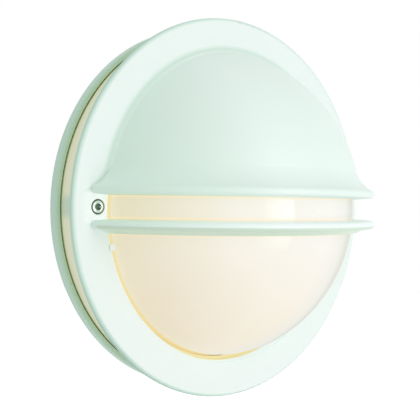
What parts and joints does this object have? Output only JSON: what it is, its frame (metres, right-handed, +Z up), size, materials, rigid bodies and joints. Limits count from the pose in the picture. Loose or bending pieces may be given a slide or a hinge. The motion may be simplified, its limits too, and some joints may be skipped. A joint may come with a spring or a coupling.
{
  "type": "wall light",
  "caption": "Round wall light with a lit opal glass dome, a cast ring frame with a half hood, a brow and a lower bar, and an opal ring that lights the wall behind it.",
  "frame": {"origin": "centre of the circle of wall screws, on the wall face", "axes": "+Y into the wall, +Z up, +X to the right as seen from the room"},
  "size_m": [0.3, 0.136, 0.3],
  "materials": {
    "lacquer": "satin mint-white lacquer on cast aluminium",
    "opal_glass": "glossy opal glass, lit from inside",
    "opal_plastic": "opal plastic, lit from inside",
    "seal_rubber": "matt",
    "white_rubber": "matt",
    "stainless": "turned and polished",
    "zinc_steel": "zinc plated",
    "nickel": "nickel plated",
    "brass": "turned",
    "porcelain": "glazed",
    "bulb_glass": "frosted, lit",
    "white_plastic": "moulded",
    "lead_brown": "smooth",
    "lead_blue": "smooth",
    "lead_green": "smooth"
  },
  "bodies": {
    "root": {"rear_housing": "lacquer", "wall_seal": "seal_rubber", "cable_grommet": "seal_rubber", "base_seal": "seal_rubber", "side_light_ring": "opal_plastic", "lower_glass_seal": "seal_rubber", "glass_dome": "opal_glass", "upper_glass_seal": "seal_rubber", "frame_seal": "seal_rubber", "front_frame": "lacquer", "frame_screw_left": "stainless", "frame_screw_right": "stainless", "screw_inserts": "brass", "glass_pads": "white_rubber", "lamp_bracket": "zinc_steel", "bracket_screws": "zinc_steel", "lampholder": "porcelain", "screw_shell": "nickel", "centre_contact": "brass", "holder_screws": "zinc_steel", "bulb": "bulb_glass", "terminal_block": "white_plastic", "terminal_screws": "zinc_steel", "block_screw": "zinc_steel", "earth_screw": "brass", "earth_washer": "brass", "earth_lug": "nickel", "live_lead": "lead_brown", "neutral_lead": "lead_blue", "earth_lead": "lead_green"}
  },
  "joints": []
}
